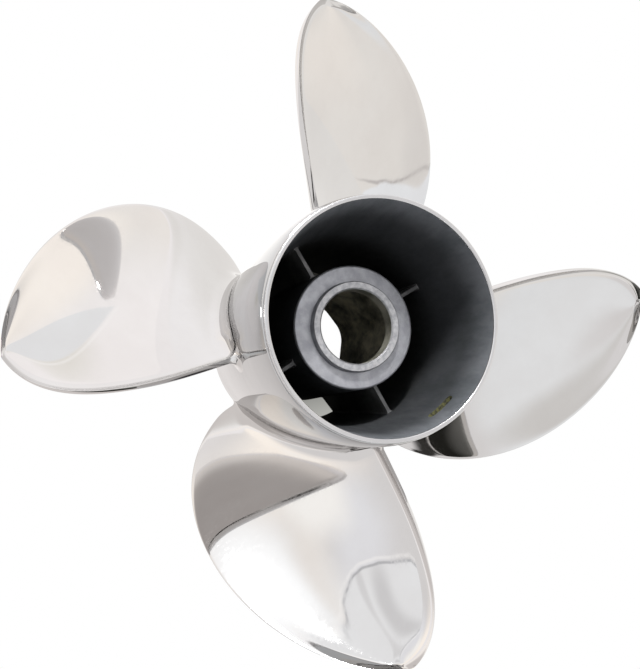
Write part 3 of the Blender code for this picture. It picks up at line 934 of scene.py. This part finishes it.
def section_point(radius, index):
    """One station of the closed section: place round the cylinder, height, distances to the edges."""
    part = section(radius)
    on_face = index < len(STATIONS)
    station = STATIONS[index if on_face else LOOP - index]
    distance, nose_share, corner_drop = along_chord(part, station)
    share = distance / part["chord"] if part["chord"] > 0 else 0.5
    thick = thickness_at(part, share)
    face = face_height(part, share)
    tip = max(0.0, radius - (TIP_RADIUS - TIP_ROUNDING)) / TIP_ROUNDING
    round_off = nose_share * math.sqrt(max(0.0, 1.0 - tip * tip))
    half = max(0.0, thick / 2 - corner_drop) * round_off
    proud = face - thick / 2 + (half if on_face else -half)
    angle = part["start"] + (part["end"] - part["start"]) * share
    x = radius * angle + part["normal"][0] * proud
    z = part["height"] + part["climb"] * (angle - part["middle"]) + part["normal"][1] * proud
    return x, z, distance, part["chord"] - distance


# %% [markdown]
# The lowest rings lie sunk in the barrel, so that no gap shows. The next ones follow the root
# fillet, a quarter round that is wide along both faces and narrow at the two edges. The rest go
# out to the tip and crowd together there, where the outline turns fastest.

# %% Blade net
SUNK_RINGS = (0.0012, 0.0006)
FILLET_RINGS = 14
SPAN_RINGS = 92
RINGS = len(SUNK_RINGS) + FILLET_RINGS + 1 + SPAN_RINGS
SEAT_LIFT = 0.00002
FIRST_RADIUS = 0.058
SEAT_ROUNDS = 4
FILLET_CROWDING = 1.25
TIP_CROWDING = 1.9


def seat_radius(x, z):
    return barrel_radius(min(max(z, 0.0), SHOULDER_HEIGHT)) + SEAT_LIFT


def ring_point(ring, index):
    """Where station index of a ring lies, in cylinder terms: radius, angle, height."""
    radius = FIRST_RADIUS
    for _ in range(SEAT_ROUNDS):
        x, z, from_nose, from_tail = section_point(radius, index)
        seat = seat_radius(x, z)
        run_in = min(1.0, min(from_nose, from_tail) / FILLET_RUN_IN)
        middle_fillet = FACE_FILLET if index < len(STATIONS) else BACK_FILLET
        share = from_nose / max(from_nose + from_tail, 1e-6)
        edge_fillet = LEADING_FILLET + (TRAILING_FILLET - LEADING_FILLET) * share
        reach = edge_fillet + (middle_fillet - edge_fillet) * math.sin(math.pi / 2 * run_in) ** 2
        radius, swell = ring_radius(ring, seat, reach)
    return radius, x, z, swell


def ring_radius(ring, seat, reach):
    if ring < len(SUNK_RINGS):
        return seat - SUNK_RINGS[ring], reach
    step = ring - len(SUNK_RINGS)
    if step <= FILLET_RINGS:
        turn = math.pi / 2 * (step / FILLET_RINGS) ** FILLET_CROWDING
        return seat + reach * (1.0 - math.cos(turn)), reach * (1.0 - math.sin(turn))
    share = (step - FILLET_RINGS) / SPAN_RINGS
    foot = seat + reach
    return foot + (TIP_RADIUS - foot) * (1.0 - (1.0 - share) ** TIP_CROWDING), 0.0


def blade_points():
    """All the points of one blade's net, ring by ring from the root."""
    net = []
    for ring in range(RINGS):
        raw = [ring_point(ring, index) for index in range(LOOP)]
        row = []
        for index, (radius, x, z, swell) in enumerate(raw):
            if swell > 0:
                before, after = raw[index - 1], raw[(index + 1) % LOOP]
                along = Vector((after[1] - before[1], after[2] - before[2]))
                if along.length > 0:
                    along.normalize()
                    x -= along.y * swell
                    z += along.x * swell
            row.append((radius, x / radius, max(z, FRONT_CLEARANCE)))
        net.append(row)
    return net


blade_net = blade_points()
print("blade net", len(blade_net), "rings of", LOOP)

# %% [markdown]
# The net is the same for all four blades, so it is computed once. The points of a sphere move to
# it, and each blade is then turned a quarter further round the shaft.

# %% Blades
def cylinder_point(radius, angle, height):
    return Vector((radius * math.cos(angle), radius * math.sin(angle), height))


def root_pole(row):
    """Closes the net inside the barrel, midway between the two faces."""
    face, back = row[len(STATIONS) // 2], row[LOOP - len(STATIONS) // 2]
    return cylinder_point(*((near + far) / 2 for near, far in zip(face, back)))


def tip_pole(row):
    return sum((cylinder_point(*place) for place in row), Vector()) / len(row)


for index in range(BLADE_COUNT):
    blade = add_piece(
        f"polished_blade_{index + 1}", bpy.ops.mesh.primitive_uv_sphere_add,
        segments=LOOP, ring_count=RINGS + 1, radius=1.0,
    )
    for vertex in blade.data.vertices:
        latitude = math.asin(min(1.0, max(-1.0, vertex.co.z)))
        ring = round((latitude / math.pi + 0.5) * (RINGS + 1)) - 1
        station = round(math.atan2(vertex.co.y, vertex.co.x) / (2 * math.pi) * LOOP) % LOOP
        if ring < 0:
            vertex.co = root_pole(blade_net[0])
        elif ring >= RINGS:
            vertex.co = tip_pole(blade_net[-1])
        else:
            vertex.co = cylinder_point(*blade_net[ring][station])
    blade.data.transform(Matrix.Rotation(index * math.pi / 2, 4, "Z"))
    bpy.ops.object.mode_set(mode="EDIT")
    bpy.ops.mesh.select_all(action="SELECT")
    bpy.ops.mesh.normals_make_consistent(inside=False)
    bpy.ops.object.mode_set(mode="OBJECT")
    blade.data.materials.append(polished)
    finish_piece(blade, f"blade_{index + 1}", 40)

# %% [markdown]
# ## Light
# Polished steel shows its surroundings and little else, so the studio is drawn as a sky: a pale
# tent all round, with soft panels that differ a little in tone, and the dark shape of whoever
# holds the camera. A panel is an ellipse in compass and height angles, with a soft edge. The
# same group draws the patches on the table, with places in metres in the place of angles.

# %% Soft panel
WHITE = (1.0, 1.0, 1.0)
panel_group, panel_in, panel_out = new_group(
    "soft_panel",
    {
        "Across": 0.0, "Up": 0.0, "Centre Across": 0.0, "Centre Up": 0.0, "Half Width": 10.0,
        "Half Height": 10.0, "Slope": 0.0, "Softness": 0.3, "Base": WHITE, "Light": WHITE,
    },
    ("Color",),
)
away = calc(panel_group, "SUBTRACT", panel_in["Across"], panel_in["Centre Across"])
away = calc(panel_group, "WRAP", away, 180.0, -180.0)
above = calc(panel_group, "SUBTRACT", panel_in["Up"], panel_in["Centre Up"])
above = calc(panel_group, "SUBTRACT", above, calc(panel_group, "MULTIPLY", away, panel_in["Slope"]))
wide = calc(panel_group, "DIVIDE", away, panel_in["Half Width"])
tall = calc(panel_group, "DIVIDE", above, panel_in["Half Height"])
reach = vector_calc(panel_group, "LENGTH", join_axes(panel_group, wide, tall, 0.0))
outer = calc(panel_group, "ADD", 1.0, panel_in["Softness"])
inner = calc(panel_group, "SUBTRACT", 1.0, panel_in["Softness"])
share = smooth_range(panel_group, reach, outer, inner)
feed(panel_out["Color"], mix_color(panel_group, share, panel_in["Base"], panel_in["Light"]))
print("soft panel has", len(panel_group.nodes), "nodes")


def lay_panels(tree, across, up, base, panels):
    """Lays panels over a base colour, the last one on top. Each is given by the across and up of
    its middle, half its width and height, its slope, the softness of its edge and its colour."""
    for label, (middle, height, wide, tall, slope, softness, light) in panels.items():
        panel = use_group(
            tree, panel_group, Across=across, Up=up, Centre_Across=middle, Centre_Up=height,
            Half_Width=wide, Half_Height=tall, Slope=slope, Softness=softness, Base=base, Light=light,
        )
        panel.label = label
        base = panel.outputs["Color"]
    print("panels:", ", ".join(panels))
    return base

# %% [markdown]
# The sky is read by compass angle (0 along +X, 90 along +Y) and height angle, both in degrees.
# A weak noise bends them, so that no panel shows a ruled outline.

# %% Sky angles
SKY_RIPPLE = 1.2
RIPPLE_SCALE = 7.0
world = bpy.data.worlds.new("studio")
bpy.context.scene.world = world
world.use_nodes = True
sky_tree = world.node_tree
sky = sky_tree.nodes["Background"]
toward = add_node(sky_tree, "ShaderNodeTexCoord").outputs["Generated"]
x, y, z = split(sky_tree, toward)
compass = calc(sky_tree, "DEGREES", calc(sky_tree, "ARCTAN2", y, x))
height = calc(sky_tree, "DEGREES", calc(sky_tree, "ARCSINE", z))
ripple = add_noise(sky_tree, toward, RIPPLE_SCALE, 2.0)
shift = calc(sky_tree, "MULTIPLY_ADD", ripple, SKY_RIPPLE, -SKY_RIPPLE / 2)
compass_bent = calc(sky_tree, "ADD", compass, shift)
height_bent = calc(sky_tree, "ADD", height, shift)
print("sky angles bend by up to", SKY_RIPPLE / 2, "degrees")

# %% [markdown]
# Each panel stands for something in the room: a wall and its seam, a sheet, the lamp and its
# glow, the camera's stand. The lamp is far brighter than white, so that it shows as a glint.

# %% Sky panels
PALE_TENT = (1.12, 1.10, 1.10)
SKY_PANELS = {
    "warm wall": (62.6, 10.8, 67.6, 32.6, 0.14, 0.11, (1.27, 1.23, 1.18)),
    "warm wall top": (86.0, 17.0, 27.2, 14.3, -0.91, 0.90, (1.44, 1.37, 1.29)),
    "duller wall end": (37.5, 22.0, 6.8, 5.8, -0.37, 0.49, (1.16, 1.12, 1.08)),
    "wall seam": (48.5, 11.9, 13.0, 0.5, -0.77, 0.5, (0.86, 0.82, 0.80)),
    "sheet below the seam": (48.5, 3.6, 13.0, 8.0, -0.77, 0.05, (1.33, 1.36, 1.40)),
    "white side": (147.0, -2.7, 32.7, 35.3, -0.10, 0.47, (1.53, 1.49, 1.49)),
    "cream sheet": (108.3, 16.8, 19.7, 6.3, 0.31, 0.67, (1.62, 1.54, 1.45)),
    "grey gap": (142.8, 16.9, 8.1, 4.7, -0.34, 0.87, (1.25, 1.22, 1.13)),
    "cream foot": (-140.7, 1.9, 32.0, 21.6, -0.47, 0.56, (1.66, 1.55, 1.43)),
    "cool tent": (-129.2, 33.0, 10.4, 15.3, -0.69, 0.69, (1.28, 1.29, 1.34)),
    "lamp glow": (-180.7, 37.3, 31.6, 9.4, 0.23, 0.90, (1.81, 1.85, 1.88)),
    "lamp": (-181.0, 38.0, 7.0, 3.4, 0.23, 0.3, (270.0, 268.0, 266.0)),
    "beige fold": (-150.2, 35.8, 8.4, 11.8, -0.87, 0.90, (1.38, 1.33, 1.28)),
    "pale wedge": (-142.7, 21.7, 13.3, 11.0, 0.0, 0.47, (1.55, 1.53, 1.49)),
    "right tent": (-28.2, 38.7, 52.2, 11.2, -0.33, 0.35, (1.28, 1.30, 1.32)),
    "right tent foot": (0.1, 19.3, 35.2, 7.3, -0.28, 0.79, (1.24, 1.26, 1.28)),
    "dim lens": (-67.9, 49.5, 17.7, 6.4, 0.09, 0.71, (1.01, 0.99, 0.97)),
    "camera stand": (-60.0, 16.0, 11.0, 6.0, -1.29, 0.3, (0.05, 0.048, 0.045)),
    "foot of the stand": (-48.0, 0.0, 12.0, 7.0, 0.0, 0.3, (0.05, 0.048, 0.045)),
    "top lamp": (-128.0, 62.0, 9.0, 3.6, 0.0, 0.3, (85.0, 84.3, 83.6)),
    "photographer": (-91.0, 74.0, 46.0, 11.0, 0.0, 0.35, (0.08, 0.08, 0.085)),
}
walls = lay_panels(sky_tree, compass_bent, height_bent, PALE_TENT, SKY_PANELS)

# %% [markdown]
# The tent's cloth ceiling hangs over the side where the propeller's last blade looks. Its hem is
# an arch: a thin dark seam, a bright turned edge under it, and two dark folds above.

# %% Ceiling hem
HEM_START = -230.0
HEM_END = -100.0
HEM_TOP = 60.0
HEM_POINTS = (
    (-230.0, 10.0), (-205.0, 22.0), (-196.8, 30.9), (-187.7, 40.5), (-175.0, 47.3), (-164.0, 49.5),
    (-153.2, 49.5), (-143.2, 45.6), (-131.4, 39.1), (-117.7, 35.9), (-100.0, 34.0),
)
CEILING = (1.33, 1.345, 1.37)
CEILING_FOLDS = {
    "narrow fold": (-134.0, 43.5, 1.6, 4.5, -1.2, 0.6, (1.14, 1.14, 1.16)),
    "wide fold": (-127.0, 43.5, 3.2, 5.0, -0.9, 0.7, (1.06, 1.06, 1.08)),
}
turn = calc(sky_tree, "WRAP", compass_bent, 60.0, -300.0)
along = calc(sky_tree, "SUBTRACT", turn, HEM_START)
along = calc(sky_tree, "DIVIDE", along, HEM_END - HEM_START, clamp=True)
hem_curve = add_node(sky_tree, "ShaderNodeFloatCurve")
hem_points = hem_curve.mapping.curves[0].points
for number, (at_turn, at_height) in enumerate(HEM_POINTS):
    spot = ((at_turn - HEM_START) / (HEM_END - HEM_START), at_height / HEM_TOP)
    if number in (0, len(HEM_POINTS) - 1):
        hem_points[0 if number == 0 else -1].location = spot
    else:
        hem_points.new(*spot)
hem_curve.mapping.update()
feed(hem_curve.inputs["Value"], along)
hem_height = calc(sky_tree, "MULTIPLY", hem_curve.outputs["Value"], HEM_TOP)
over_hem = calc(sky_tree, "SUBTRACT", height_bent, hem_height)
in_span = calc(sky_tree, "LESS_THAN", turn, HEM_END)
in_span = calc(sky_tree, "MULTIPLY", in_span, calc(sky_tree, "GREATER_THAN", turn, HEM_START))
ceiling = lay_panels(sky_tree, compass_bent, height_bent, CEILING, CEILING_FOLDS)
on_ceiling = calc(sky_tree, "MULTIPLY", smooth_range(sky_tree, over_hem, -0.4, 0.4), in_span)
tone = mix_color(sky_tree, on_ceiling, walls, ceiling)


def hem_line(tone, offset, half_width, share, colour):
    """Draws a soft line that runs beside the hem."""
    off = calc(sky_tree, "ABSOLUTE", calc(sky_tree, "SUBTRACT", over_hem, offset))
    band = calc(sky_tree, "MULTIPLY", smooth_range(sky_tree, off, half_width, half_width * 0.3), in_span)
    return mix_color(sky_tree, calc(sky_tree, "MULTIPLY", band, share), tone, colour)


seam_share = smooth_range(sky_tree, turn, -190.0, -135.0)
tone = hem_line(tone, -0.9, 0.5, 0.5, (1.60, 1.59, 1.58))
tone = hem_line(tone, 0.1, 0.4, seam_share, (0.80, 0.81, 0.84))
print("ceiling hem drawn with", len(hem_points), "points")

# %% [markdown]
# Straight to the camera the tent is plain white, as in a cut-out product picture.

# %% Sky to camera
to_camera = add_node(sky_tree, "ShaderNodeLightPath").outputs["Is Camera Ray"]
feed(sky.inputs["Color"], mix_color(sky_tree, to_camera, tone, WHITE))
bpy.context.scene.view_settings.view_transform = "Standard"
print("sky has", len(sky_tree.nodes), "nodes")

# %% [markdown]
# ## Table
# The propeller stands on its front rim on a white table. Light comes mostly over the +Y side, so
# the blades mirror a table that is white there, greyer on the -Y side and dark beyond the edge
# that lies along +X.

# %% Table
TABLE_SIZE = 8.0
TABLE_DROP = 0.0002
TABLE_WOBBLE = 0.03
WOBBLE_SCALE = 5.0
floor = add_piece("floor", bpy.ops.mesh.primitive_plane_add, size=TABLE_SIZE, location=(0, 0, -TABLE_DROP))
table, table_tree, table_shader = new_material("white_table")
feed(table_shader.inputs["Base Color"], (0.0, 0.0, 0.0))
table_shader.inputs["Specular IOR Level"].default_value = 0.0
table_shader.inputs["Roughness"].default_value = 1.0
table_shader.inputs["Emission Strength"].default_value = 1.0
on_table = object_place(table_tree)
wobble = add_noise(table_tree, on_table, WOBBLE_SCALE, 2.0)
shift = calc(table_tree, "MULTIPLY_ADD", wobble, TABLE_WOBBLE, -TABLE_WOBBLE / 2)
table_x, table_y = (calc(table_tree, "ADD", axis, shift) for axis in split(table_tree, on_table)[:2])
# The table gives off light and is not lit, so its patches are painted light and shade, which the camera
# does not see; the shade of the blade is a painted shadow.
TABLE_PATCHES = {
    "far wall": (1.17, 3.10, 1.85, 4.71, 0.28, 0.16, (1.24, 1.22, 1.19)),
    "white side": (-0.471, 0.191, 0.310, 0.431, -0.75, 0.35, (1.45, 1.43, 1.44)),
    "shaded side": (0.062, -0.389, 0.367, 0.389, 0.35, 0.13, (0.99, 0.94, 0.92)),
    "dark edge": (0.425, -0.182, 0.190, 0.222, -0.67, 0.07, (0.04, 0.04, 0.035)),
    "dim edge": (0.452, 0.072, 0.190, 0.125, -0.04, 0.55, (0.42, 0.42, 0.40)),
    "dark beyond the table": (1.50, -1.50, 1.00, 0.90, 0.0, 0.3, (0.05, 0.05, 0.045)),
    "shade of the blade": (0.098, 0.042, 0.030, 0.022, 0.0, 0.5, (0.18, 0.17, 0.16)),
    "grey corner": (-0.276, -0.385, 0.225, 0.306, -0.72, 0.52, (1.54, 1.47, 1.41)),
}
TABLE_TONE = (1.459, 1.422, 1.43)
tone = lay_panels(table_tree, table_x, table_y, TABLE_TONE, TABLE_PATCHES)

# %% [markdown]
# To the camera the table is white, except under the barrel: what is seen of it through the
# exhaust passages lies in shade, lighter where the lamp reaches down the passage.

# %% Table to camera
SHADE_INNER_RADIUS = 0.031
SHADE_OUTER_RADIUS = 0.052
FOOT_RADIUS = 0.050
UNDER_BARREL = (0.02, 0.02, 0.018)
LIT_SHADE = (0.50, 0.50, 0.47)
# The shade under the barrel, and the lighter part of it where the lamp reaches, is painted on the table:
# where the camera looks through the passages, and inside the barrel's foot for mirrored rays.
from_axis = vector_calc(table_tree, "LENGTH", on_table)
past_hub = calc(table_tree, "GREATER_THAN", from_axis, SHADE_INNER_RADIUS)
under_barrel = calc(table_tree, "LESS_THAN", from_axis, SHADE_OUTER_RADIUS)
in_shade = calc(table_tree, "MULTIPLY", past_hub, under_barrel)
reached = smooth_range(table_tree, table_x, 0.00, 0.06)
shade_tone = mix_color(table_tree, reached, UNDER_BARREL, LIT_SHADE)
seen = mix_color(table_tree, in_shade, WHITE, shade_tone)
inside_foot = calc(table_tree, "LESS_THAN", from_axis, FOOT_RADIUS)
mirrored = mix_color(table_tree, inside_foot, tone, UNDER_BARREL)
to_camera = add_node(table_tree, "ShaderNodeLightPath").outputs["Is Camera Ray"]
shown = mix_color(table_tree, to_camera, mirrored, seen)
feed(table_shader.inputs["Emission Color"], shown)
floor.data.materials.append(table)
print("the table to the camera is plain, in shade out to", SHADE_OUTER_RADIUS)
